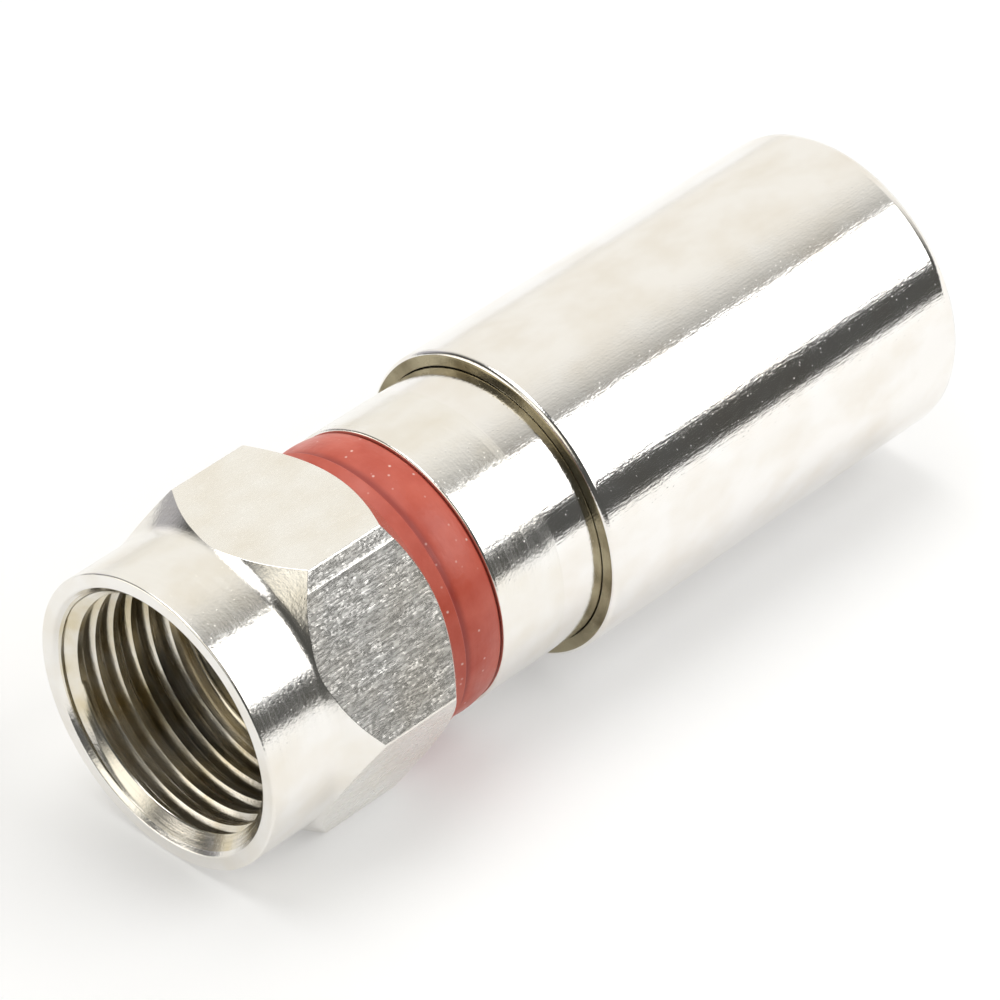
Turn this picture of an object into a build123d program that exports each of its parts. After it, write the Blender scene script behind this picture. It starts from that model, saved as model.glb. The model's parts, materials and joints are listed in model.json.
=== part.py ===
"""A compression plug for coaxial cable: a hexagonal coupling nut that turns on a barbed post, and a sleeve
that is pushed along the barrel to clamp the cable.

Millimetres. +X runs along the axis from the nut's mouth to the cable end, and +Z is square to the nut's
upper flat. The origin is on the axis, at the mating plane: the front face of the post, which meets the rim
of the port.
"""

import os
from math import cos, pi, radians, tan

from build123d import *

os.makedirs("parts", exist_ok=True)

# Clearances between pieces
swivel_gap = 0.06
swivel_play = 0.05
slide_gap = 0.06
press_gap = 0.01
ring_gap = 0.10
flange_inset = 0.23
seal_room = 0.37
jacket_room = 0.65
ferrule_nose_gap = 0.08
ferrule_entry_gap = 0.40
sleeve_stop_gap = 0.04
edge_break = 0.08

# Coupling nut, with a 3/8 inch thread of 32 turns to the inch, and 11 mm across its flats
thread_crest_radius = 4.38
thread_depth = 0.38
thread_reach = 5.9
thread_relief_length = 0.35
mouth_lead = 0.57
nut_wall = 0.68
neck_inset = 0.05
neck_length = 2.95
neck_fillet = 0.25
front_cone_angle = 36
rear_cone_angle = 45
retaining_flange = 0.70
seal_recess_depth = 0.50

# Post: a flange that the nut pulls against the port, a knurled seat, and a barbed tube under the braid
flange_thickness = 1.1
tube_wall = 0.43
knurl_height = 0.20
knurl_depth = 0.14
knurl_teeth = 30
knurl_length = 3.4
shoulder_step = 0.22
post_reach = 1.9
barb_height = 0.25
barb_pitch = 1.3
barb_count = 2
barb_tip_wall = 0.15

# Seal between the nut and the barrel
seal_section = 0.90

# Colour ring on the barrel's nose
ring_width = 2.41
ring_wall = 0.69
ring_lip_width = 0.55
ring_lip_rise = 0.08
ring_lip_slope = 0.13
ring_crown = 0.04
ring_edge_drop = 0.14
ring_edge_width = 0.12

# Barrel: a land beside the ring, a slightly smaller slide behind it, and a chamber for the cable's jacket
barrel_wall = 0.82
land_inset = 0.25
land_step = 0.03
land_length = 2.54
barrel_length = 12.85
barrel_floor = 0.45
chamber_lead = 0.30
barrel_rear_chamfer = 0.25

# Sleeve: shown before it is pushed home along its stroke
sleeve_wall = 0.525
sleeve_stroke = 4.6
sleeve_lip_chamfer = 0.12
sleeve_rear_fillet = 0.50
cable_bore_length = 3.55
cable_lead = 0.35

# Gripping ferrule inside the sleeve
ferrule_wall = 0.52
ferrule_flange_length = 2.2
ferrule_nose_length = 5.1
ferrule_tip_drop = 0.25
ferrule_tip_length = 0.9
ferrule_funnel_length = 3.6
ferrule_funnel_rise = 0.55
grip_grooves = 3
grip_depth = 0.12
grip_pitch = 0.6

# Places along the axis
nut_front = -thread_reach
neck_end = nut_front + neck_length
nut_seat = flange_thickness + swivel_play
retaining_back = nut_seat + retaining_flange
nut_rear = retaining_back + seal_recess_depth
barrel_front = retaining_back + seal_section + 2 * swivel_play
ring_front = nut_rear + ring_gap
ring_rear = ring_front + ring_width
land_end = ring_rear + land_length
knurl_end = barrel_front + knurl_length
chamber_front = knurl_end + barrel_floor
barrel_rear = barrel_front + barrel_length
post_rear = barrel_rear + post_reach
ferrule_tip = barrel_rear + ferrule_entry_gap
ferrule_flange_front = ferrule_tip + ferrule_nose_length
sleeve_shoulder = ferrule_flange_front + ferrule_flange_length
sleeve_rear = sleeve_shoulder + cable_bore_length
sleeve_front = ring_rear + sleeve_stop_gap + sleeve_stroke

# Radii of the nut, from the thread outwards to the flats
relief_radius = thread_crest_radius + thread_depth + swivel_gap
flat_radius = relief_radius + nut_wall
neck_radius = flat_radius - neck_inset
envelope_radius = flat_radius / cos(pi / 6) + 0.2
flange_radius = thread_crest_radius - flange_inset

# Radii of the other pieces, from the nut's neck inwards to the cable's core
land_radius = neck_radius - land_inset
slide_radius = land_radius - land_step
chamber_radius = slide_radius - barrel_wall
ferrule_nose_radius = chamber_radius - ferrule_nose_gap
throat_radius = ferrule_nose_radius - ferrule_wall
barb_radius = throat_radius - jacket_room
tube_radius = barb_radius - barb_height
post_bore_radius = tube_radius - tube_wall

# Radii that follow from both
knurl_radius = tube_radius + knurl_height
shoulder_radius = knurl_radius + shoulder_step
retaining_bore_radius = shoulder_radius + swivel_gap
seal_inner_radius = shoulder_radius + press_gap
seal_recess_radius = seal_inner_radius + seal_section + seal_room
barrel_seat_radius = knurl_radius + press_gap
ring_inner_radius = land_radius - ring_wall
nose_radius = ring_inner_radius - press_gap
sleeve_bore_radius = slide_radius + slide_gap
sleeve_radius = sleeve_bore_radius + sleeve_wall
cable_bore_radius = throat_radius + ferrule_funnel_rise
ferrule_flange_radius = sleeve_bore_radius - press_gap


# Coupling nut: a hexagon turned down at both ends, bored, relieved behind the thread, recessed for the seal
front_cone_length = (envelope_radius - neck_radius) / tan(radians(front_cone_angle))
rear_cone_length = (envelope_radius - neck_radius) / tan(radians(rear_cone_angle))

with BuildPart() as coupling_nut:
    with BuildSketch(Plane.YZ.offset(nut_front)):
        RegularPolygon(radius=flat_radius, side_count=6, major_radius=False)
    extrude(amount=nut_rear - nut_front)
    with BuildSketch(Plane.XZ) as nut_envelope:
        with BuildLine():
            Polyline(
                (nut_front, 0),
                (nut_front, neck_radius - edge_break),
                (nut_front + edge_break, neck_radius),
                (neck_end, neck_radius),
                (neck_end + front_cone_length, envelope_radius),
                (nut_rear - rear_cone_length, envelope_radius),
                (nut_rear, neck_radius),
                (nut_rear, 0),
                close=True,
            )
        make_face()
        fillet(nut_envelope.vertices().sort_by_distance((neck_end, neck_radius, 0))[0], neck_fillet)
    revolve(axis=Axis.X, mode=Mode.INTERSECT)
    with BuildSketch(Plane.XZ):
        with BuildLine():
            Polyline(
                (nut_front, 0),
                (nut_front, thread_crest_radius + mouth_lead),
                (nut_front + mouth_lead, thread_crest_radius),
                (-thread_relief_length - thread_depth, thread_crest_radius),
                (-thread_relief_length, relief_radius),
                (nut_seat, relief_radius),
                (nut_seat, retaining_bore_radius),
                (retaining_back, retaining_bore_radius),
                (retaining_back, seal_recess_radius),
                (nut_rear, seal_recess_radius),
                (nut_rear, 0),
                close=True,
            )
        make_face()
    revolve(axis=Axis.X, mode=Mode.SUBTRACT)
coupling_nut.part.label = "coupling_nut"
export_step(coupling_nut.part, "parts/coupling_nut.step")


# Inner post: flange, shoulder and tube turned in one, with saw-tooth barbs that rise from the cable end
barb_line = [(post_rear, post_bore_radius + barb_tip_wall)]
for barb in range(barb_count):
    barb_front = post_rear - (barb + 1) * barb_pitch
    barb_line += [(barb_front, barb_radius), (barb_front, tube_radius)]
    if barb < barb_count - 1:
        barb_line.append((barb_front - edge_break, tube_radius))

with BuildPart() as inner_post:
    with BuildSketch(Plane.XZ):
        with BuildLine():
            Polyline(
                (0, post_bore_radius),
                (post_rear, post_bore_radius),
                *barb_line,
                (knurl_end, tube_radius),
                (knurl_end - knurl_height, knurl_radius),
                (barrel_front, knurl_radius),
                (barrel_front, shoulder_radius),
                (flange_thickness, shoulder_radius),
                (flange_thickness, flange_radius),
                (edge_break, flange_radius),
                (0, flange_radius - edge_break),
                close=True,
            )
        make_face()
    revolve(axis=Axis.X)
    with BuildSketch(Plane.YZ.offset(barrel_front)):
        with PolarLocations(knurl_radius, knurl_teeth):
            RegularPolygon(radius=knurl_depth, side_count=4)
    extrude(amount=knurl_length, mode=Mode.SUBTRACT)
inner_post.part.label = "inner_post"
export_step(inner_post.part, "parts/inner_post.step")


# Nut seal: an O-ring on the post's shoulder, between the nut's recess and the barrel's nose
seal_middle = retaining_back + swivel_play + seal_section / 2

with BuildPart() as nut_seal:
    with BuildSketch(Plane.XZ):
        with Locations((seal_middle, seal_inner_radius + seal_section / 2)):
            Circle(seal_section / 2)
    revolve(axis=Axis.X)
nut_seal.part.label = "nut_seal"
export_step(nut_seal.part, "parts/nut_seal.step")


# Colour ring: a conical lip beside the nut, a small step down, and a crowned band with an eased rear edge
lip_crest_x = ring_front + ring_lip_width
lip_crest_radius = land_radius + ring_lip_rise
band_end = ring_rear - ring_edge_width

with BuildPart() as colour_ring:
    with BuildSketch(Plane.XZ):
        with BuildLine():
            Polyline(
                (band_end, land_radius - ring_crown),
                (ring_rear, land_radius - ring_edge_drop),
                (ring_rear, ring_inner_radius),
                (ring_front, ring_inner_radius),
                (ring_front, lip_crest_radius - ring_lip_slope),
                (lip_crest_x, lip_crest_radius),
                (lip_crest_x + edge_break / 2, land_radius - ring_crown),
            )
            ThreePointArc(
                (lip_crest_x + edge_break / 2, land_radius - ring_crown),
                ((lip_crest_x + band_end) / 2, land_radius),
                (band_end, land_radius - ring_crown),
            )
        make_face()
    revolve(axis=Axis.X)
colour_ring.part.label = "colour_ring"
export_step(colour_ring.part, "parts/colour_ring.step")


# Barrel: bored for the post in front, with the nose for the ring, the land, the slide and the open chamber
with BuildPart() as barrel:
    with BuildSketch(Plane.XZ):
        with BuildLine():
            Polyline(
                (barrel_front, barrel_seat_radius),
                (barrel_front, nose_radius - edge_break),
                (barrel_front + edge_break, nose_radius),
                (ring_rear, nose_radius),
                (ring_rear, land_radius - edge_break),
                (ring_rear + edge_break, land_radius),
                (land_end, land_radius),
                (land_end + land_step, slide_radius),
                (barrel_rear - barrel_rear_chamfer, slide_radius),
                (barrel_rear, slide_radius - barrel_rear_chamfer),
                (barrel_rear, chamber_radius + chamber_lead),
                (barrel_rear - 2 * chamber_lead, chamber_radius),
                (chamber_front, chamber_radius),
                (chamber_front, barrel_seat_radius),
                close=True,
            )
        make_face()
    revolve(axis=Axis.X)
barrel.part.label = "barrel"
export_step(barrel.part, "parts/barrel.step")


# Compression sleeve: a long thin skirt over the barrel and a thick rear collar with the cable's hole
with BuildPart() as compression_sleeve:
    with BuildSketch(Plane.XZ):
        with BuildLine():
            Polyline(
                (sleeve_front, sleeve_bore_radius + sleeve_lip_chamfer),
                (sleeve_front, sleeve_radius - edge_break),
                (sleeve_front + edge_break, sleeve_radius),
                (sleeve_rear, sleeve_radius),
                (sleeve_rear, cable_bore_radius + cable_lead),
                (sleeve_rear - cable_lead, cable_bore_radius),
                (sleeve_shoulder, cable_bore_radius),
                (sleeve_shoulder, sleeve_bore_radius),
                (sleeve_front + sleeve_lip_chamfer, sleeve_bore_radius),
                close=True,
            )
        make_face()
    revolve(axis=Axis.X)
    rear_edges = compression_sleeve.edges().filter_by(GeomType.CIRCLE).group_by(Axis.X)[-1]
    fillet(rear_edges.sort_by(SortBy.RADIUS)[-1], sleeve_rear_fillet)
compression_sleeve.part.label = "compression_sleeve"
export_step(compression_sleeve.part, "parts/compression_sleeve.step")


# Gripping ferrule: a plastic ring seated in the sleeve, whose tapered nose enters the barrel's chamber
throat_end = sleeve_shoulder - ferrule_funnel_length
first_groove = ferrule_tip + ferrule_tip_length

with BuildPart() as gripping_ferrule:
    with BuildSketch(Plane.XZ):
        with BuildLine():
            Polyline(
                (ferrule_tip, throat_radius),
                (ferrule_tip, ferrule_nose_radius - ferrule_tip_drop),
                (ferrule_tip + ferrule_tip_length, ferrule_nose_radius),
                (ferrule_flange_front, ferrule_nose_radius),
                (ferrule_flange_front, ferrule_flange_radius - edge_break),
                (ferrule_flange_front + edge_break, ferrule_flange_radius),
                (sleeve_shoulder, ferrule_flange_radius),
                (sleeve_shoulder, cable_bore_radius),
                (throat_end, throat_radius),
                close=True,
            )
        make_face()
    revolve(axis=Axis.X)
    with BuildSketch(Plane.XZ):
        with Locations(*[(first_groove + i * grip_pitch, throat_radius) for i in range(grip_grooves)]):
            RegularPolygon(radius=grip_depth, side_count=4)
    revolve(axis=Axis.X, mode=Mode.SUBTRACT)
gripping_ferrule.part.label = "gripping_ferrule"
export_step(gripping_ferrule.part, "parts/gripping_ferrule.step")
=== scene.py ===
# %% [markdown]
# # A compression plug for coaxial cable
#
# The plug is small: 33 mm long, turned from brass, plated with nickel, and held together by one thin post. This
# lesson dresses its solids in Blender. The solids say where everything is, so the first step loads them as a frame
# that nothing here may move. Each visible piece is then made again as a fine mesh with its true edges, and the
# nut gets the thread that the solid leaves out.

import json

import bmesh
import bpy
import numpy as np
from mathutils import Matrix, Vector


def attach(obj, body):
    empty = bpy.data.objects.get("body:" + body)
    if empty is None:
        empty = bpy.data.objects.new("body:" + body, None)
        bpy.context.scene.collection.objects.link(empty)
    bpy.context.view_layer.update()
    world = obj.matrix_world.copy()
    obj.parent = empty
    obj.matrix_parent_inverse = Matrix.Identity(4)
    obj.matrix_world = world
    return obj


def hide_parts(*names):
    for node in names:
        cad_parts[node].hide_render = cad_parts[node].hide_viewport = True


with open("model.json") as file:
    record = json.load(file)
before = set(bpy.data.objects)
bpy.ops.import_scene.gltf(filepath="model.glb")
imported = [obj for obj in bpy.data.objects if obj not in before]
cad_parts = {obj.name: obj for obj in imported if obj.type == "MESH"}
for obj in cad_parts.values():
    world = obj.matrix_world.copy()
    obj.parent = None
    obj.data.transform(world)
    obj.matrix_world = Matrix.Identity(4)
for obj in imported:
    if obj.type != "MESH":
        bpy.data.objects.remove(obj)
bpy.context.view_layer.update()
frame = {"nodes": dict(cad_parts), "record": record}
MM = 0.001

# %% [markdown]
# ## The camera
#
# The picture was taken from in front of the nut's mouth, to one side of it and well above the table, with the
# camera leaning a little. A long lens far away gives the same gentle perspective: the near end of a small thing
# looks only slightly larger than its far end. The camera is placed by angles and a distance from a point on the
# plug's axis, because those are easier to read and to change than a row of coordinates.

# %% Place the camera
look_azimuth = np.radians(-44.14)
look_elevation = np.radians(37.65)
camera_lean = np.radians(-2.52)
look_at = Vector((9.92, -0.05, 0.0)) * MM
look_distance = 208.17 * MM
lens_mm = 222.9

forward = Vector(
    (
        -np.sin(look_azimuth) * np.cos(look_elevation),
        np.cos(look_azimuth) * np.cos(look_elevation),
        -np.sin(look_elevation),
    )
)
level = Vector((np.cos(look_azimuth), np.sin(look_azimuth), 0.0))
right = level * np.cos(camera_lean) + level.cross(forward) * np.sin(camera_lean)
up = right.cross(forward)

camera = bpy.data.objects.new("camera", bpy.data.cameras.new("camera"))
camera.data.lens = lens_mm
camera.data.sensor_width = 36
camera.data.clip_start = 10 * MM
camera.data.clip_end = 5000 * MM
camera.matrix_world = Matrix.Translation(look_at - forward * look_distance) @ Matrix(
    (right, up, -forward)
).transposed().to_4x4()
bpy.context.scene.collection.objects.link(camera)
bpy.context.scene.camera = camera
bpy.context.scene.view_settings.view_transform = "Standard"
print("camera at", [round(v / MM, 1) for v in camera.location], "mm")

# %% [markdown]
# ## Sizes from the frame
#
# A mesh that stands for a solid has to be exactly as long and as wide as it. So each piece's ends, its smallest
# bore and its largest radius are measured on the solid's own vertices. Only the steps between those are written
# here as values of their own, in millimetres.


# %% Measure a solid
def span(node):
    """The first and last place of a solid along the axis, and its smallest and largest distance from it, in mm."""
    mesh = frame["nodes"][node].data
    points = np.empty(len(mesh.vertices) * 3)
    mesh.vertices.foreach_get("co", points)
    x, y, z = points.reshape(-1, 3).T / MM
    radius = np.hypot(y, z)
    return x.min(), x.max(), radius.min(), radius.max()


nut_front, nut_rear, retaining_bore, corner_radius = span("coupling_nut")
post_front, post_rear, post_bore, flange_radius = span("inner_post")
seal_front, seal_rear, seal_inside, seal_outside = span("nut_seal")
ring_front, ring_rear, ring_bore, ring_radius = span("colour_ring")
barrel_front, barrel_rear, barrel_bore, land_radius = span("barrel")
sleeve_front, sleeve_rear, cable_bore, sleeve_radius = span("compression_sleeve")
ferrule_tip, ferrule_rear, throat_radius, ferrule_radius = span("gripping_ferrule")
print(f"the plug is {sleeve_rear - nut_front:.2f} mm long and {2 * corner_radius:.2f} mm across its corners")

# %% [markdown]
# ## Outlines with soft corners
#
# Every piece but the nut's hexagon is turned, so a piece is an outline carried round the axis. A real edge is never
# perfectly sharp: a lathe tool, a tumbling drum and the plating all round it a little, and that thin round is what
# catches the light as a bright line. One function therefore takes a plain outline and rounds each corner to its
# own radius. It works on one outline, or on hundreds at once, one for each angle round the nut.


# %% Round the corners of an outline
def soften(corners, radii, steps=5, hold=0.02):
    """
    Rounds the corners of closed outlines of (x, r) points. With A and B the points where the arc leaves its two
    edges, C the corner, w the cosine of half the turn and t from 0 to 1, the arc is the weighted mean
    ((1-t)^2 A + 2t(1-t)w C + t^2 B) / ((1-t)^2 + 2t(1-t)w + t^2), which is exactly round. An arc takes at most
    0.45 of an edge, so that two always fit on it. One more point, hold mm before and behind each arc, keeps the
    straight edge straight, so that smooth shading doesn't bend it.
    """
    corner = np.asarray(corners, float)
    radii = np.asarray(radii, float)[:, None]
    ahead = np.roll(corner, -1, -2) - corner
    length = np.linalg.norm(ahead, axis=-1, keepdims=True)
    ahead = ahead / length
    behind = np.roll(ahead, 1, -2)
    half = np.arccos(np.clip((ahead * behind).sum(-1, keepdims=True), -1, 1)) / 2
    room = 0.45 * np.minimum(length, np.roll(length, 1, -2))
    reach = np.minimum(radii * np.tan(half), room)
    rest = np.where(radii > 0, np.minimum(hold, room / 10), 0)
    start, end = corner - behind * reach, corner + ahead * reach
    t, w = np.linspace(0, 1, steps)[:, None], np.cos(half)[..., None]
    weights = (1 - t) ** 2, 2 * t * (1 - t) * w, t**2
    parts = (start, corner, end)
    arc = sum(k * p[..., None, :] for k, p in zip(weights, parts)) / sum(weights)
    first = (start - behind * rest)[..., None, :]
    last = (end + ahead * rest)[..., None, :]
    rows = np.concatenate([first, arc, last], axis=-2)
    return rows.reshape(*corner.shape[:-2], -1, 2)


def rounded(section):
    """The soft outline of a section that lists each corner as (x, r, radius). Where an x or r has a value for each
    column of the mesh, the result is an outline for each column."""
    x, r, radii = zip(*section)
    values = np.broadcast_arrays(*x, *r)
    corners = np.stack([np.stack(values[: len(x)], -1), np.stack(values[len(x) :], -1)], axis=-1)
    return soften(corners, radii)


square = soften([(0, 0), (0, 1), (1, 1), (1, 0)], [0.1] * 4)
print(f"a square with soft corners has {len(square)} points")

# %% [markdown]
# ## From an outline to a closed skin
#
# The outline goes round the axis in even steps. The last column lies on the first, so the two are merged into one
# seam, and the outline is a closed loop, so the skin is closed too. Its volume, with its sign, then tells whether
# the faces point outwards: a skin that is inside out has a negative one. A face keeps the number of its finish, so
# that the nut can be turned in one place and milled in another.

# %% Turn an outline into a mesh
TURN = 2 * np.pi
around = np.linspace(0, TURN, 361)[:, None]


def turned(outline, angle=around):
    """The point at angle a of an outline point (x, r) is (x, -r sin a, r cos a): a is 0 at the top."""
    x, r = outline[..., 0], outline[..., 1]
    return np.stack([x + 0 * angle, -r * np.sin(angle), r * np.cos(angle)], axis=-1)


def skin(name, grid, finishes, node, body, finish_rows=None):
    """A closed mesh from a grid of points: columns round the axis, rows round the section, numbered
    column * rows + row. A face joins a point, the next column's, the one after that, and the one after itself."""
    columns, rows = grid.shape[:2]
    index = np.arange(columns * rows).reshape(columns, rows)
    here, beside = index[:-1], index[1:]
    quads = np.stack([here, beside, np.roll(beside, -1, 1), np.roll(here, -1, 1)], axis=-1)
    mesh = bpy.data.meshes.new(name)
    mesh.from_pydata((grid.reshape(-1, 3) * MM).tolist(), [], quads.reshape(-1, 4).tolist())
    for finish in finishes:
        mesh.materials.append(finish)
    if finish_rows is not None:
        mesh.polygons.foreach_set("material_index", np.tile(finish_rows, columns - 1).astype(np.int32))
    mesh.polygons.foreach_set("use_smooth", np.ones(len(mesh.polygons), bool))
    shape = bmesh.new()
    shape.from_mesh(mesh)
    bmesh.ops.remove_doubles(shape, verts=shape.verts, dist=0.00001 * MM)
    volume = shape.calc_volume(signed=True) / MM**3
    open_edges = sum(not edge.is_manifold for edge in shape.edges)
    shape.to_mesh(mesh)
    shape.free()
    piece = bpy.data.objects.new(name, mesh)
    bpy.context.scene.collection.objects.link(piece)
    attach(piece, body)
    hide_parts(node)
    print(f"{name}: {len(mesh.polygons)} faces, {volume:.1f} cubic mm, {open_edges} open edges")


# %% [markdown]
# ## Colours and nodes
#
# A colour is written as it looks on a screen, in hex, and Blender's shaders count in linear light, so one function
# turns the first into the second. Another adds a node: its own settings come by name, and each input is given
# either a value or the socket that feeds it. Everything below is built with these two.


# %% Turn hex into linear light, and add a node
def linear(colour):
    """Each channel over 12.92 where it is below 0.04045, and elsewhere ((value + 0.055) / 1.055) to the 2.4."""
    channel = np.array([int(colour[i : i + 2], 16) for i in (1, 3, 5)]) / 255
    light = np.where(channel <= 0.04045, channel / 12.92, ((channel + 0.055) / 1.055) ** 2.4)
    return (*light.tolist(), 1.0)


def add(tree, kind, inputs=None, **settings):
    """Adds a shader node. A setting is one of its properties; an input is a value, or the socket it comes from."""
    node = tree.nodes.new("ShaderNode" + kind)
    for key, value in settings.items():
        setattr(node, key, value)
    for key, value in (inputs or {}).items():
        if isinstance(value, bpy.types.NodeSocket):
            tree.links.new(value, node.inputs[key])
        else:
            node.inputs[key].default_value = value
    return node


def blank(name):
    """A material with an empty node tree, and the socket that its shader goes to."""
    material = bpy.data.materials.new(name)
    material.use_nodes = True
    material.node_tree.nodes.clear()
    return material, material.node_tree, add(material.node_tree, "OutputMaterial").inputs["Surface"]


print("the screen grey #808080 is", round(linear("#808080")[0], 3), "in linear light")

# %% [markdown]
# ## Patterns in millimetres
#
# Three patterns serve every finish. Stretched noise gives grain, waves and tool marks. Scattered beads are single
# cells of a Voronoi pattern, kept only where the cell's own random number is high, so they are unevenly spread.
# Facets are the same cells, each tipped its own way: a coarse tumbled surface is a mosaic of little mirrors. All
# three read Object coordinates, in which a millimetre is a millimetre everywhere, so no pattern has to be unwrapped.


# %% Three patterns
def stretched(tree, place, size, detail=3):
    """Noise whose grains are size = (x, y, z) mm wide: the place over the size, then noise of scale 1."""
    cell = add(tree, "Mapping", {"Vector": place, "Scale": [1 / (width * MM) for width in size]})
    return add(tree, "TexNoise", {"Vector": cell.outputs[0], "Scale": 1.0, "Detail": detail}).outputs[0]


def beads(tree, place, spacing, share, radius):
    """1 in the middle of a bead and 0 at its radius, for a share of the cells that are spacing mm apart."""
    cells = add(tree, "TexVoronoi", {"Vector": place, "Scale": 1 / (spacing * MM), "Randomness": 1.0})
    lot = add(tree, "SeparateColor", {"Color": cells.outputs["Color"]})
    kept = add(tree, "Math", {0: lot.outputs[0], 1: 1 - share}, operation="GREATER_THAN")
    dome = {"Value": cells.outputs["Distance"], "From Min": radius / spacing, "From Max": 0.0}
    dome = add(tree, "MapRange", dome, interpolation_type="SMOOTHSTEP")
    return add(tree, "Math", {0: dome.outputs[0], 1: kept.outputs[0]}, operation="MULTIPLY").outputs[0]


def facets(tree, place, normal, size, tilt):
    """Tips the normal the same way all over one cell: the unit vector along N + s (c - 1/2), with c the cell's
    random colour. Slow noise varies s from 0.6 to 1.6 times the tilt."""
    cell = add(tree, "Mapping", {"Vector": place, "Scale": [1 / (width * MM) for width in size]})
    cells = add(tree, "TexVoronoi", {"Vector": cell.outputs[0], "Scale": 1.0})
    slow = stretched(tree, place, (0.9, 0.6, 0.6), detail=2)
    strength = {"Value": slow, "From Min": 0.35, "From Max": 0.60, "To Min": tilt * 0.6, "To Max": tilt * 1.6}
    strength = add(tree, "MapRange", strength).outputs[0]
    lean = {0: cells.outputs["Color"], 1: (0.5, 0.5, 0.5)}
    lean = add(tree, "VectorMath", lean, operation="SUBTRACT").outputs[0]
    lean = add(tree, "VectorMath", {0: lean, "Scale": strength}, operation="SCALE").outputs[0]
    tipped = add(tree, "VectorMath", {0: normal, 1: lean}, operation="ADD").outputs[0]
    return add(tree, "VectorMath", {0: tipped}, operation="NORMALIZE").outputs[0]


print(f"a grain 0.1 mm wide is a scale of {1 / (0.1 * MM):.0f}")

# %% [markdown]
# ## Bright nickel plate
#
# Nickel is a slightly warm white metal. The bath levels the brass under it, so the plate is nearly a mirror, but
# not quite: it keeps a fine grain about 0.1 mm wide, small nodules, very slow waves, and the marks of the tool
# where the brass was cut. A mirror has little colour of its own, so nearly all of this is in the bump: it breaks up
# the edges of the reflected light and dark into small bright beads. The colour only drifts a little, where the
# plate is thinner and the brass warms it, and where a drop of rinse water dried. One function makes every such
# finish, because they are one metal and differ only in how the brass under it was shaped.


# %% Make a plated finish
def plated(name, light, warm, rough, streak, bumps, nodules, tilt=0.0):
    """
    Nickel over brass. light and warm are the plate's two colours. rough is its least roughness, and streak how much
    rougher it is along the marks of the first bump. bumps is a list of (size, height): the (x, y, z) size of a
    grain and the height of the bump in mm. nodules is the height of the nodules in mm, and tilt that of facets.
    """
    material, tree, surface = blank(name)
    place = add(tree, "TexCoord").outputs["Object"]

    drift = stretched(tree, place, (2.4, 1.8, 1.8), detail=4)
    tint = add(tree, "MapRange", {"Value": drift, "From Min": 0.40, "From Max": 0.72})
    colours = {"Factor": tint.outputs[0], "A": linear(light), "B": linear(warm)}
    colour = add(tree, "Mix", colours, data_type="RGBA").outputs["Result"]

    marks = stretched(tree, place, bumps[0][0])
    spread = {"Value": marks, "From Min": 0.4, "From Max": 0.7, "To Min": rough, "To Max": rough + streak}
    spread = add(tree, "MapRange", spread).outputs[0]

    bump = {"Height": beads(tree, place, spacing=0.15, share=0.35, radius=0.035), "Distance": nodules * MM}
    normal = add(tree, "Bump", bump).outputs[0]
    for size, height in bumps:
        bump = {"Height": stretched(tree, place, size), "Distance": height * MM, "Normal": normal}
        normal = add(tree, "Bump", bump).outputs[0]
    if tilt:
        normal = facets(tree, place, normal, size=(0.10, 0.07, 0.07), tilt=tilt)

    inputs = {"Base Color": colour, "Metallic": 1.0, "Roughness": spread, "Normal": normal}
    shader = add(tree, "BsdfPrincipled", inputs)
    tree.links.new(shader.outputs[0], surface)
    return material


# %% [markdown]
# ## Drawn, turned and milled
#
# Tool marks on the lathe run round the axis, so their pattern changes quickly along X and hardly at all across
# it. On a real part they are about 0.05 mm apart, which is one pixel here, so they are drawn twice as coarse. The
# marks of a drawing die run the other way, along the tube, and are fainter. The flats of the hexagon were milled
# and then tumbled with the rest of a batch, which dents them all over. Each list of bumps goes from the marks to
# the grain to the slow waves.

# %% The three bright finishes
# The sleeve and the slide: almost a mirror, with sharp edges to its light and dark bands.
drawn_nickel = plated(
    "nickel plate over drawn brass tube",
    light="#F4F2EF",
    warm="#ECE7DF",
    rough=0.10,
    streak=0.03,
    bumps=[((0.50, 0.07, 0.07), 0.003), ((0.10, 0.10, 0.10), 0.003), ((2.2, 1.6, 1.6), 0.006)],
    nodules=0.003,
)
# The nut's neck and the barrel's land: a softer mirror, whose bands fray into fine rings.
turned_nickel = plated(
    "nickel plate over turned brass",
    light="#F2F0EC",
    warm="#EAE5DB",
    rough=0.15,
    streak=0.08,
    bumps=[((0.10, 2.5, 2.5), 0.003), ((0.12, 0.12, 0.12), 0.005), ((1.2, 0.8, 0.8), 0.008)],
    nodules=0.004,
)
# The flats of the hexagon: grey and granular where they face the dark, cream where they face a light.
milled_nickel = plated(
    "nickel plate over milled and tumbled brass",
    light="#F1EFEA",
    warm="#EAE5DB",
    rough=0.24,
    streak=0.08,
    bumps=[((0.45, 0.07, 0.07), 0.0035), ((0.07, 0.20, 0.20), 0.005), ((1.0, 0.30, 0.30), 0.012)],
    nodules=0.001,
    tilt=0.07,
)
print("bright finishes:", ", ".join(finish.name for finish in (drawn_nickel, turned_nickel, milled_nickel)))

# %% [markdown]
# ## Where the plate is thin
#
# The plating current hardly reaches into a hole, so the bores and the thread have less nickel, and the brass
# warms them. The lip of the sleeve has been handled and rubbed against the barrel until the brass came through,
# and its colour is darkened further as painted shade, for the gap where it meets the barrel. Both are turned
# surfaces, so they keep the rings of the lathe, and both are duller than the rest.

# %% The two dull finishes
# The bores: straw-coloured where they catch light, and brown in their shade.
thin_nickel = plated(
    "thin nickel plate in a bore, with the brass showing through",
    light="#EDE9E0",
    warm="#D6C79F",
    rough=0.18,
    streak=0.10,
    bumps=[((0.08, 3.0, 3.0), 0.004), ((0.12, 0.12, 0.12), 0.003)],
    nodules=0.002,
)
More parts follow.
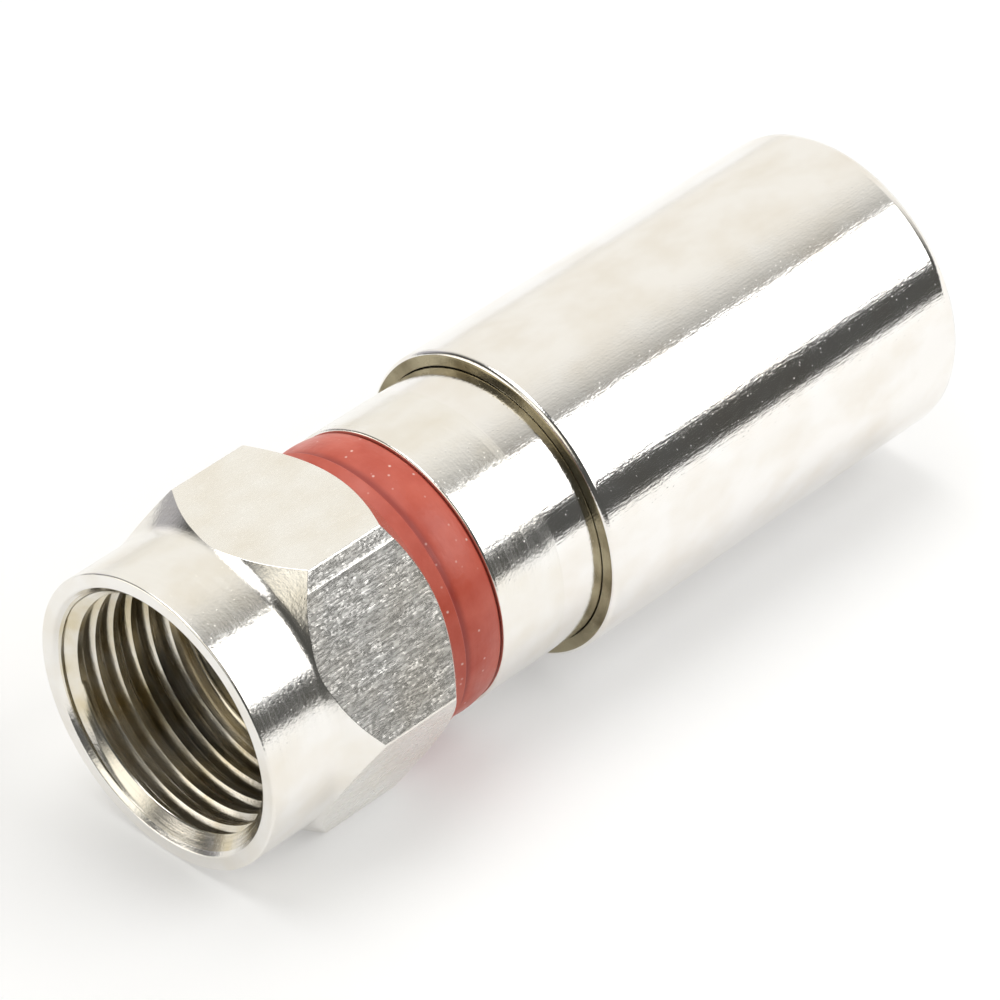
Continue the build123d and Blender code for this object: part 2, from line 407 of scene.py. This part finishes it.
# The sleeve's lip: a dull olive line that sets the sleeve off from the barrel. The olive is brass showing through,
# and its darkness is painted shade for the gap against the barrel.
worn_nickel_with_painted_shade = plated(
    "nickel plate rubbed through to tarnished brass",
    light="#A69D82",
    warm="#655B42",
    rough=0.22,
    streak=0.10,
    bumps=[((0.08, 3.0, 3.0), 0.003), ((0.12, 0.12, 0.12), 0.004)],
    nodules=0.002,
)
print("dull finishes:", ", ".join(finish.name for finish in (thin_nickel, worn_nickel_with_painted_shade)))

# %% [markdown]
# ## The red ring's plastic
#
# The ring is moulded from a soft nylon-like plastic, coloured all through. It is satin rather than glossy, so it
# shows a broad soft sheen, which comes and goes where the skin is rubbed, a slow mottle where the colour was mixed
# unevenly, and pale specks of dust and nickel that stuck to it. A painted shade darkens the groove behind its lip
# and its rear edge, so the finish has to know where the lip ends, and that place is set here, before the ring's
# shape is.

# %% Make the ring's plastic
lip_end = ring_front + 0.55
# Lines of painted shade, for the groove behind the lip and the gap at the rear edge: each place and the half width
# of its darkening, in mm.
painted_shade_lines = [(lip_end + 0.20, 0.26), (ring_rear, 0.14)]


def ring_plastic():
    """Red plastic: two reds by slow noise, with painted shade darker up to a given distance from each of its lines,
    with pale specks up to 0.14 mm wide, and roughness by another slow noise."""
    material, tree, surface = blank("moulded red plastic, satin")
    place = add(tree, "TexCoord").outputs["Object"]
    mottle = stretched(tree, place, (1.2, 1.2, 1.2), detail=4)
    shade = add(tree, "MapRange", {"Value": mottle, "From Min": 0.35, "From Max": 0.68}).outputs[0]
    reds = {"Factor": shade, "A": linear("#C0503C"), "B": linear("#CE6350")}
    red = add(tree, "Mix", reds, data_type="RGBA").outputs["Result"]
    along = add(tree, "SeparateXYZ", {"Vector": place}).outputs["X"]
    # Painted shade: near each line the red darkens towards #8E2C24, standing in for the shade in the groove and at
    # the rear edge.
    for line, half in painted_shade_lines:
        away = add(tree, "Math", {0: along, 1: line * MM}, operation="SUBTRACT").outputs[0]
        away = add(tree, "Math", {0: away}, operation="ABSOLUTE").outputs[0]
        painted_shade = {"Value": away, "From Max": half * MM, "To Min": 0.75, "To Max": 0.0}
        painted_shade = add(tree, "MapRange", painted_shade, interpolation_type="SMOOTHSTEP").outputs[0]
        red = {"Factor": painted_shade, "A": red, "B": linear("#8E2C24")}
        red = add(tree, "Mix", red, data_type="RGBA").outputs["Result"]
    dust = beads(tree, place, spacing=0.36, share=0.5, radius=0.07)
    specks = {"Factor": dust, "A": red, "B": linear("#F6D9D0")}
    colour = add(tree, "Mix", specks, data_type="RGBA").outputs["Result"]

    rubbed = stretched(tree, place, (0.9, 1.6, 1.6))
    rough = {"Value": rubbed, "From Min": 0.38, "From Max": 0.62, "To Min": 0.30, "To Max": 0.52}
    rough = add(tree, "MapRange", rough).outputs[0]
    bump = {"Height": stretched(tree, place, (0.15, 0.15, 0.15)), "Distance": 0.010 * MM}
    normal = add(tree, "Bump", bump).outputs[0]
    inputs = {"Base Color": colour, "Roughness": rough, "IOR": 1.5, "Normal": normal}
    tree.links.new(add(tree, "BsdfPrincipled", inputs).outputs[0], surface)
    return material


red_plastic = ring_plastic()
print(f"{red_plastic.name}: {len(red_plastic.node_tree.nodes)} nodes")

# %% [markdown]
# ## Plastic and rubber that hardly show
#
# The gripping ferrule is off-white acetal, seen from the cable end, and the seal is black nitrile rubber, seen only
# as a dark line in the nut's recess. Both are moulded, so both have an even, fine grain and no tool marks.


# %% Make the moulded finishes
def moulded(name, first, second, rough, grain):
    """An even moulded finish: two close colours by slow noise, and a fine grain of the height given in mm."""
    material, tree, surface = blank(name)
    place = add(tree, "TexCoord").outputs["Object"]
    slow = {"Factor": stretched(tree, place, (1.5, 1.5, 1.5)), "A": linear(first), "B": linear(second)}
    colour = add(tree, "Mix", slow, data_type="RGBA").outputs["Result"]
    bump = {"Height": stretched(tree, place, (0.12, 0.12, 0.12)), "Distance": grain * MM}
    normal = add(tree, "Bump", bump).outputs[0]
    inputs = {"Base Color": colour, "Roughness": rough, "IOR": 1.48, "Normal": normal}
    tree.links.new(add(tree, "BsdfPrincipled", inputs).outputs[0], surface)
    return material


white_acetal = moulded("moulded off-white acetal", "#E4E2D9", "#D8D5CA", rough=0.38, grain=0.003)
black_rubber = moulded("moulded black nitrile rubber", "#191919", "#222120", rough=0.55, grain=0.002)
print("hidden finishes:", white_acetal.name, "and", black_rubber.name)

# %% [markdown]
# ## The coupling nut: outside
#
# The nut starts as a hexagonal bar. The lathe turns a plain neck at its mouth and bevels both ends of the hexagon
# with cones, and where a flat meets a cone the edge is a hyperbola. It could be made by cutting a prism with a
# Boolean, but that leaves long thin faces that shade badly. Instead each column of the mesh is worked out on its
# own: at angle a the hexagon is a known distance from the axis, and each cone reaches that distance at a known
# place along it. The columns crowd together at the six corners, so those can be rounded as the real ones are, and
# at the fine ridge that the cutter left on one flat, 0.7 mm from its upper edge.

# %% The hexagon round the axis
flat_radius = corner_radius * np.cos(np.pi / 6)
corner_round = 0.12
ridge_from_middle = 2.5
corner_centre = (flat_radius - corner_round) / np.cos(np.pi / 6)
corner_half_angle = np.arctan2(corner_round / 2, corner_centre + corner_round * np.cos(np.pi / 6))
corner_columns = np.array([-1.6, -1, -0.75, -0.5, -0.25, 0, 0.25, 0.5, 0.75, 1, 1.6]) * corner_half_angle

corner_angles = np.radians(np.arange(30, 360, 60))
even_angles = np.radians(np.arange(0, 361))
ridge_angle = np.radians(60) - np.arctan(ridge_from_middle / flat_radius)
ridge_half, ridge_height = 0.030, 0.006
ridge_columns = ridge_angle + np.array([-1, -0.5, 0, 0.5, 1]) * ridge_half / flat_radius
crowded = np.concatenate([(corner_angles[:, None] + corner_columns).ravel(), ridge_columns])
least_gap = np.radians(0.3)
clear = np.abs(even_angles[:, None] - crowded).min(1) > least_gap
nut_angles = np.sort(np.concatenate([even_angles[clear], crowded]))[:, None]


def hexagon(angle):
    """The distance from the axis to the flat is R / cos(b), b being the angle from the middle of the flat. Round
    a corner it is that of a circle of radius q about a point d out on the corner's line: d cos c +
    sqrt(q^2 - d^2 sin^2 c), c being the angle from that line. The ridge adds a small tent."""
    from_flat = (angle + np.pi / 6) % (np.pi / 3) - np.pi / 6
    from_corner = np.abs(angle % (np.pi / 3) - np.pi / 6)
    flat = flat_radius / np.cos(from_flat)
    inside = np.clip(corner_round**2 - (corner_centre * np.sin(from_corner)) ** 2, 0, None)
    at_corner = corner_centre * np.cos(from_corner) + np.sqrt(inside)
    from_ridge = np.abs(angle - ridge_angle) * flat_radius / ridge_half
    ridge = ridge_height * np.clip(1 - from_ridge, 0, 1)
    return np.where(from_corner < corner_half_angle, at_corner, flat) + ridge


print(f"{len(nut_angles)} columns, the nut is {hexagon(np.radians(30)):.3f} mm from its axis at a corner")

# %% [markdown]
# ## The coupling nut: thread
#
# The thread is 3/8 inch with 32 turns to the inch, right-handed, with the usual 60 degree form. Its crests are
# eased on the side that faces the mouth, where the plug is screwed on to its port again and again: that side leans
# 34 degrees instead of 30 over the last 0.18 mm, and this is what shows as a row of bright bands in the mouth.

# %% The form of one turn
INCH = 25.4
thread_crest = frame["record"]["mounts"][0]["dims"]["r_mm"]
thread_root = 3 / 8 * INCH / 2
pitch = INCH / 32
depth = thread_root - thread_crest
flank_slope = np.tan(np.radians(30))
flank = depth * flank_slope
eased_height = 0.18
eased_length = eased_height * np.tan(np.radians(34))
lower_flank = flank - eased_height * flank_slope
root_width = pitch / 8
crest_width = pitch - root_width - flank - lower_flank - eased_length
thread_edges = np.cumsum([0, crest_width, flank, root_width, lower_flank, eased_length])
thread_heights = thread_crest + np.array([0, 0, depth, depth, eased_height, 0])
print(f"in a turn of {pitch:.3f} mm: crest {crest_width:.2f}, root {root_width:.2f}, depth {depth:.2f} mm")

# %% [markdown]
# ## The coupling nut: thread along the helix
#
# On a fixed grid the thread's crests would cut across the rows and show as steps. So most rows of the mesh follow
# the helix: each column places its own rows at the edges of the crests and roots that it meets. A few rows stay
# level, in the lead at the mouth and in the run-out at the inner end, and sorting each column's rows puts the two
# kinds in order. The radius there is the largest of three: the thread, the lead cone that the tool cut at the
# mouth, and the slope into the relief groove.

# %% The thread's radius at any place
mouth_lead = 0.57
relief_radius = thread_crest + 0.44
relief_front = -0.35
run_out = 0.38


def thread_radius(x, angle):
    """The thread's height by linear steps over one pitch, shifted by a pitch for each turn, and never less than
    the lead cone's radius or the run-out slope's."""
    phase = (x - nut_front - pitch * angle / TURN) % pitch
    thread = np.interp(phase, thread_edges, thread_heights)
    lead = thread_crest + mouth_lead - (x - nut_front)
    slope = relief_radius + (x - relief_front) * (relief_radius - thread_crest) / run_out
    return np.maximum(np.maximum(thread, lead), slope)


ends = thread_radius(np.array([nut_front, relief_front]), 0)
print(f"the wall's radius is {ends[0]:.2f} mm at the mouth and {ends[1]:.2f} mm at the relief groove")

# %% [markdown]
# ## The coupling nut: rows of the thread
#
# Smooth shading would blend a crest into its flanks, so each edge of the thread gets three rows, 0.004 mm apart,
# which keep both sides of it straight. A turn has five such edges, because its last one is the next turn's first.
# Rows that would lie past an end of the wall are laid on that end, where the merging of doubles takes them away.

# %% The thread's wall
edge_hold = 0.004
thread_start = nut_front + 0.15
turns = np.arange(int((relief_front - nut_front) / pitch) + 3)[:, None]
helix_rows = nut_front + pitch * (turns - 1) + np.array(
    [edge + side for edge in thread_edges[:-1] for side in (-edge_hold, 0, edge_hold)]
)
level_rows = np.concatenate(
    [
        np.linspace(thread_start, nut_front + mouth_lead, 13),
        np.linspace(relief_front - run_out, relief_front, 9),
    ]
)
thread_x = np.concatenate(
    [
        helix_rows.ravel() + pitch * nut_angles / TURN,
        np.broadcast_to(level_rows, (len(nut_angles), len(level_rows))),
    ],
    axis=1,
)
thread_x = np.sort(np.clip(thread_x, thread_start, relief_front), axis=1)[:, ::-1]
thread_wall = np.stack([thread_x, thread_radius(thread_x, nut_angles)], axis=-1)
print(f"{(relief_front - nut_front) / pitch:.1f} turns of thread on {thread_x.shape[1]} rows")

# %% [markdown]
# ## The coupling nut: whole section
#
# The neck runs into the front cone through a hollow fillet, which mirrors the lamp overhead as a bright edge. At
# the middle of a flat the hexagon hardly rises above the neck, so there the fillet ends before it has turned to the
# cone's slope, at nine tenths of that height.

# %% The fillet between neck and hexagon
neck_radius = flat_radius - 0.05
neck_end = nut_front + 2.95
cone_turn = np.radians(36)
fillet_radius = 0.90
fillet_share = 0.9

outer = hexagon(nut_angles)[:, 0]
fillet_turn = np.minimum(np.arccos(1 - fillet_share * (outer - neck_radius) / fillet_radius), cone_turn)
fillet_start = neck_end - fillet_radius * np.tan(cone_turn / 2)
fillet = [
    (
        fillet_start + fillet_radius * np.sin(part * fillet_turn),
        neck_radius + fillet_radius * (1 - np.cos(part * fillet_turn)),
        0.0,
    )
    for part in np.linspace(0, 1, 8)
]
flat_front = fillet[-1][0] + (outer - fillet[-1][1]) / np.tan(fillet_turn)
print(f"a flat starts {flat_front.min() - nut_front:.2f} to {flat_front.max() - nut_front:.2f} mm behind the mouth")

# %% [markdown]
# ## The coupling nut: closing the section
#
# The section runs from the lip of the mouth back over the neck, the fillet, the flat and the rear cone, which is
# cut at 45 degrees, to the rear face. It goes forward again through the seal's recess, the retaining flange that
# the post pulls on, and the relief groove, and the thread closes the loop.
#
# The faces take one of three finishes by their row. The flat is milled, the inside has thin plate from the front of
# the retaining flange to the mouth, and the rest is turned. The outline has seven rows at each corner, of which the
# first and the last hold the straight edges, so the flat is three faces: one from its front corner's last row to
# its rear corner's first, and the two narrow ones beside that.

# %% Build the nut
nut_seat = 1.15
retaining_back = nut_seat + 0.70
seal_recess = retaining_bore + 1.22
nut_section = [
    (thread_start, thread_crest + mouth_lead - (thread_start - nut_front), 0.0),
    (nut_front, thread_crest + mouth_lead, 0.12),
    (nut_front, neck_radius, 0.07),
    *fillet,
    (flat_front, outer, 0.05),
    (nut_rear - (outer - neck_radius), outer, 0.05),
    (nut_rear, neck_radius, 0.04),
    (nut_rear, seal_recess, 0.04),
    (retaining_back, seal_recess, 0.08),
    (retaining_back, retaining_bore, 0.04),
    (nut_seat, retaining_bore, 0.04),
    (nut_seat, relief_radius, 0.08),
    (relief_front, relief_radius, 0.0),
]
nut_outline = np.concatenate([rounded(nut_section), thread_wall], axis=1)

rows_a_corner = 7
finish_rows = np.zeros(nut_outline.shape[1], int)
flat_row = rows_a_corner * (len(fillet) + 4)
finish_rows[flat_row - 2 : flat_row + 1] = 1
finish_rows[(len(nut_section) - 3) * rows_a_corner :] = 2
skin(
    "coupling_nut_plated",
    turned(nut_outline, nut_angles),
    [turned_nickel, milled_nickel, thin_nickel],
    node="coupling_nut",
    body="nut",
    finish_rows=finish_rows,
)

# %% [markdown]
# ## The colour ring
#
# The ring is snapped on to the barrel's nose and turns with it. Beside the nut it has a thin conical lip, then a
# groove a tenth of a millimetre deep, and then a gently crowned band, whose middle is as wide as the barrel. The
# crown is a parabola, and the moulding's edges are soft, about 0.05 mm round.

# %% Build the colour ring
band_start, band_end = lip_end + 0.30, ring_rear - 0.12
band_middle, band_half = (band_start + band_end) / 2, (band_end - band_start) / 2
crown_drop = 0.09
band = [(band_middle + band_half * s, land_radius - crown_drop * s**2, 0.02) for s in np.linspace(-1, 1, 9)]
ring_section = [
    (ring_front, ring_bore, 0.04),
    (ring_front, ring_radius - 0.13, 0.05),
    (lip_end, ring_radius, 0.04),
    (lip_end + 0.09, land_radius - 0.11, 0.10),
    *band,
    (ring_rear, land_radius - 0.18, 0.05),
    (ring_rear, ring_bore, 0.04),
]
skin(
    "colour_ring_moulded",
    turned(rounded(ring_section)),
    [red_plastic],
    node="colour_ring",
    body="plug_body",
)

# %% [markdown]
# ## The barrel
#
# The barrel carries the ring on its nose, then has a land as wide as the ring, and behind a step of two hundredths
# of a millimetre the slide that the sleeve runs on. It is bored through for the post, which is pressed in as far as
# its knurl goes, and opens behind into a chamber for the cable's jacket. The slide is smoother than the turned land,
# so that the sleeve runs easily: two finishes meet at the step.

# %% Build the barrel
land_end = ring_rear + 2.54
slide_radius = land_radius - 0.02
nose_radius = ring_bore - 0.01
chamber_radius = land_radius - 0.85
knurl_end = barrel_front + 3.4
chamber_front = knurl_end + 0.45
barrel_section = [
    (barrel_front, barrel_bore, 0.03),
    (barrel_front, nose_radius, 0.08),
    (ring_rear, nose_radius, 0.03),
    (ring_rear, land_radius, 0.08),
    (land_end, land_radius, 0.5),
    (land_end + 0.35, slide_radius, 0.5),
    (barrel_rear - 0.25, slide_radius, 0.06),
    (barrel_rear, slide_radius - 0.25, 0.04),
    (barrel_rear, chamber_radius + 0.30, 0.04),
    (barrel_rear - 0.60, chamber_radius, 0.06),
    (chamber_front, chamber_radius, 0.10),
    (chamber_front, barrel_bore, 0.03),
]
barrel_outline = rounded(barrel_section)
middle = (barrel_outline + np.roll(barrel_outline, -1, 0)) / 2
slide = (middle[:, 1] > slide_radius - 0.30) & (middle[:, 0] > land_end + 0.2)
skin(
    "barrel_plated",
    turned(barrel_outline),
    [turned_nickel, drawn_nickel],
    node="barrel",
    body="plug_body",
    finish_rows=slide.astype(int),
)

# %% [markdown]
# ## The compression sleeve
#
# The sleeve is a thin skirt that slides over the barrel, closed behind by a thicker collar with the hole for the
# cable. Its lip is rolled in a little, so that it hugs the barrel and still clears the land when it is pushed home,
# and its rear edge is well rounded. The outside is drawn tube, the bore has thin plate, and the lip is worn through
# to brass and darkened with painted shade.

# %% Build the compression sleeve
skirt_wall = 0.525
sleeve_bore = sleeve_radius - skirt_wall
sleeve_shoulder = sleeve_rear - 3.55
lip_bore = land_radius + 0.008
sleeve_section = [
    (sleeve_front + 0.40, sleeve_bore, 0.02),
    (sleeve_front + 0.30, lip_bore, 0.02),
    (sleeve_front, lip_bore, 0.03),
    (sleeve_front, sleeve_radius, 0.20),
    (sleeve_rear, sleeve_radius, 0.50),
    (sleeve_rear, cable_bore + 0.35, 0.04),
    (sleeve_rear - 0.35, cable_bore, 0.04),
    (sleeve_shoulder, cable_bore, 0.03),
    (sleeve_shoulder, sleeve_bore, 0.03),
]
sleeve_outline = rounded(sleeve_section)
middle = (sleeve_outline + np.roll(sleeve_outline, -1, 0)) / 2
outside = (middle[:, 1] > sleeve_radius - 0.10) | (middle[:, 0] > sleeve_rear - 0.37)
lip = (middle[:, 0] < sleeve_front + 0.10) & ~outside
skin(
    "compression_sleeve_plated",
    turned(sleeve_outline),
    [thin_nickel, drawn_nickel, worn_nickel_with_painted_shade],
    node="compression_sleeve",
    body="sleeve",
    finish_rows=outside + 2 * lip,
)

# %% [markdown]
# ## The inner post
#
# The post is what holds the plug together: its flange pulls the nut to the port, its knurled seat is pressed into
# the barrel, and its barbs hold the cable's braid. The knurl is a ring of thirty V-shaped grooves, so its radius
# depends on the angle: it is the knurl's own less the depth of the nearest groove, which falls off at 45 degrees.
# Like the nut, the post is worked out column by column.

# %% Build the post
flange_back = 1.10
shoulder_radius = retaining_bore - 0.06
knurl_radius = barrel_bore - 0.01
tube_radius = knurl_radius - 0.20
barb_radius = tube_radius + 0.25
barb_pitch = 1.3
groove_depth = 0.14
groove_step = TURN / 30

from_groove = np.abs((around[:, 0] + groove_step / 2) % groove_step - groove_step / 2) * knurl_radius
knurled = knurl_radius - np.clip(groove_depth - from_groove, 0, None)
post_section = [
    (post_front, post_bore, 0.04),
    (post_front, flange_radius, 0.08),
    (flange_back, flange_radius, 0.04),
    (flange_back, shoulder_radius, 0.06),
    (barrel_front, shoulder_radius, 0.04),
    (barrel_front, knurled, 0.02),
    (knurl_end - 0.20, knurled, 0.02),
    (knurl_end, tube_radius, 0.03),
    (post_rear - 2 * barb_pitch, tube_radius, 0.03),
    (post_rear - 2 * barb_pitch, barb_radius, 0.03),
    (post_rear - barb_pitch - 0.08, tube_radius, 0.03),
    (post_rear - barb_pitch, tube_radius, 0.02),
    (post_rear - barb_pitch, barb_radius, 0.03),
    (post_rear, post_bore + 0.15, 0.03),
    (post_rear, post_bore, 0.03),
]
skin(
    "inner_post_plated",
    turned(rounded(post_section)),
    [turned_nickel],
    node="inner_post",
    body="plug_body",
)

# %% [markdown]
# ## The gripping ferrule
#
# The ferrule is seated in the sleeve with its thin nose forward, and when the sleeve is pushed home the nose is
# forced between the barrel and the cable's jacket. Three V-shaped grooves in its throat bite into the jacket: each
# is three corners, its two edges and its bottom between them.

# %% Build the ferrule
nose_outside = chamber_radius - 0.08
nose_taper = 0.9
flange_front = ferrule_tip + 5.1
first_groove, groove_pitch, bite = ferrule_tip + 0.9, 0.6, 0.12
grooves = [
    (first_groove + groove_pitch * groove + side * bite, throat_radius + bite * (side == 0), 0.02)
    for groove in (2, 1, 0)
    for side in (1, 0, -1)
]
ferrule_section = [
    (ferrule_tip, throat_radius, 0.05),
    (ferrule_tip, nose_outside - 0.25, 0.05),
    (ferrule_tip + nose_taper, nose_outside, 0.08),
    (flange_front, nose_outside, 0.05),
    (flange_front, ferrule_radius, 0.08),
    (ferrule_rear, ferrule_radius, 0.04),
    (ferrule_rear, cable_bore, 0.04),
    (ferrule_rear - 3.6, throat_radius, 0.30),
    *grooves,
]
skin(
    "gripping_ferrule_moulded",
    turned(rounded(ferrule_section)),
    [white_acetal],
    node="gripping_ferrule",
    body="sleeve",
)

# %% [markdown]
# ## The nut's seal
#
# The seal is a plain ring of round rubber cord, which lies in the recess at the nut's rear and keeps water out of
# the plug. It needs no corners to be rounded: its section is a circle, as wide as the solid is long.

# %% Build the seal
round_section = np.linspace(0, TURN, 48, endpoint=False)
cord_radius = (seal_rear - seal_front) / 2
seal_ring = np.stack(
    [
        (seal_front + seal_rear) / 2 - cord_radius * np.cos(round_section),
        (seal_inside + seal_outside) / 2 + cord_radius * np.sin(round_section),
    ],
    axis=-1,
)
skin(
    "nut_seal_moulded",
    turned(seal_ring),
    [black_rubber],
    node="nut_seal",
    body="plug_body",
)

# %% [markdown]
# ## The table
#
# A loose plug lies on the lip of its mouth and on the lip of its sleeve, which is a little wider, so its axis leans
# by about a degree. The solids don't move, so the table leans instead.
#
# The table ends 34 mm in front of the plug's origin, just outside the picture. The middle of the thread looks out
# of the mouth level with the table, so a longer one would whiten it: past this edge it mirrors the dark room.

# %% Lay the table
lean = (sleeve_radius - neck_radius) / (sleeve_front - nut_front)
table_front, table_near, table_far = 34.0, 170.0, 1500.0
table_x = np.array([-table_front, table_far, table_far, -table_front])
table_y = np.array([-table_near, -table_near, table_far, table_far])
table_z = -sleeve_radius - lean * (table_x - sleeve_front)
table_mesh = bpy.data.meshes.new("table")
table_mesh.from_pydata((np.stack([table_x, table_y, table_z], -1) * MM).tolist(), [], [(0, 1, 2, 3)])
print(f"the table leans {np.degrees(np.arctan(lean)):.2f} degrees")

# %% [markdown]
# ## The table's paint
#
# The board is painted a matt white and takes the plug's shadow. Lit like this it would look light grey, but the
# picture's ground is as white as paper, so to the camera and to reflections the board adds a little light of its
# own. The Light Path node tells those rays from diffuse ones, so the added light doesn't fall on matt surfaces.

# %% Paint the table
own_light = 0.27
table_white, tree, surface = blank("white painted board")
rays = add(tree, "LightPath").outputs
seen = add(tree, "Math", {0: rays["Is Camera Ray"], 1: rays["Is Glossy Ray"]}, operation="MAXIMUM").outputs[0]
seen = add(tree, "Math", {0: seen, 1: rays["Is Transmission Ray"]}, operation="MAXIMUM").outputs[0]
glow = add(tree, "Math", {0: seen, 1: own_light}, operation="MULTIPLY").outputs[0]
matte = add(tree, "BsdfDiffuse", {"Color": linear("#DEDEDE")}).outputs[0]
paper = add(tree, "Emission", {"Color": linear("#FFFFFF"), "Strength": glow}).outputs[0]
tree.links.new(add(tree, "AddShader", {0: matte, 1: paper}).outputs[0], surface)
table_mesh.materials.append(table_white)
table = bpy.data.objects.new("table", table_mesh)
bpy.context.scene.collection.objects.link(table)
print(f"{table_white.name}: {len(tree.nodes)} nodes")

# %% [markdown]
# ## The light
#
# A mirror-like part shows its surroundings, so the surroundings are the look. The room itself is dark grey, and
# five panels with soft edges stand in it:
#
# 1. a large pale one behind and to the right, which fills most of the tops of the pieces;
# 2. a bright one overhead, which whitens the fillet between neck and hexagon;
# 3. one low down in front of the mouth, on the far side, which draws the bright bands on the thread;
# 4. one higher up in front of it, which lights the lead cone at the lower left of the mouth;
# 5. a faint, bluish one level with the plug on its far side, which greys the bevel at the upper left.
#
# The panels and the room are the world: its light depends on the angle between a direction and a panel's middle. A
# panel is full as far as one angle and fades to nothing at a wider one, both in degrees. To the camera the world is
# plain white.

# %% Light the room
world = bpy.data.worlds.new("studio")
bpy.context.scene.world = world
world.use_nodes = True
tree = world.node_tree
tree.nodes.clear()
direction = add(tree, "TexCoord").outputs["Generated"]
# Towards its middle, edge, full, strength and colour.
panels = [
    ((0.75, 0.50, 0.43), 63, 23, 0.94, "#FCF9F2"),
    ((-0.05, 0.17, 0.98), 28, 14, 2.9, "#FFFFFF"),
    ((-0.80, 0.60, 0.15), 26, 14, 1.5, "#FFFAF0"),
    ((-0.80, -0.10, 0.59), 27, 10, 1.3, "#FFFAEC"),
    ((0.00, 1.00, 0.05), 28, 10, 0.4, "#F4F2FA"),
]
shine = add(tree, "Background", {"Color": linear("#50504E"), "Strength": 1.0}).outputs[0]
for towards, edge, full, strength, colour in panels:
    facing = {0: direction, 1: Vector(towards).normalized()}
    facing = add(tree, "VectorMath", facing, operation="DOT_PRODUCT").outputs["Value"]
    inside = {"Value": facing, "From Min": np.cos(np.radians(edge)), "From Max": np.cos(np.radians(full))}
    inside = add(tree, "MapRange", {**inside, "To Max": strength}, interpolation_type="SMOOTHSTEP").outputs[0]
    panel = add(tree, "Background", {"Color": linear(colour), "Strength": inside}).outputs[0]
    shine = add(tree, "AddShader", {0: shine, 1: panel}).outputs[0]
white = add(tree, "Background", {"Color": linear("#FFFFFF"), "Strength": 1.0}).outputs[0]
to_camera = add(tree, "LightPath").outputs["Is Camera Ray"]
backdrop = add(tree, "MixShader", {0: to_camera, 1: shine, 2: white}).outputs[0]
add(tree, "OutputWorld", {"Surface": backdrop})
print(f"{len(panels)} panels, {len(tree.nodes)} nodes")

# %% [markdown]
# ## The softbox
#
# One softbox stands on the camera's right, beyond the cable end. Its sharp edges draw the white band along the whole
# plug, and the dark room between it and the table draws the dark band below. It is 45 degrees from straight up,
# seen along the axis, and it fills 23 degrees to each side of that, because a round bar mirrors each angle of the
# room as a line, and the two edges of the band in the picture lie at those angles. Its power is worked out from a
# radiance, so that it stays equally bright when its size changes: power = radiance x pi x area.

# %% Hang the softbox
softbox_side = np.radians(45)
softbox_half_angle = np.radians(23)
softbox_distance = 330.0
softbox_ahead = 218.0
softbox_length = 360.0
softbox_height = 2 * softbox_distance * np.tan(softbox_half_angle)
softbox_radiance = 2.6
softbox = bpy.data.objects.new("softbox", bpy.data.lights.new("softbox", "AREA"))
softbox.data.shape = "RECTANGLE"
softbox.data.size = softbox_length * MM
softbox.data.size_y = softbox_height * MM
softbox.data.energy = softbox_radiance * np.pi * softbox.data.size * softbox.data.size_y
away = Vector((softbox_ahead, -softbox_distance * np.sin(softbox_side), softbox_distance * np.cos(softbox_side)))
softbox.location = look_at + away * MM
softbox.rotation_euler = (softbox_side, 0, 0)
bpy.context.scene.collection.objects.link(softbox)
print(f"softbox of {softbox.data.energy:.3f} W, {softbox.data.size_y / MM:.0f} mm high")
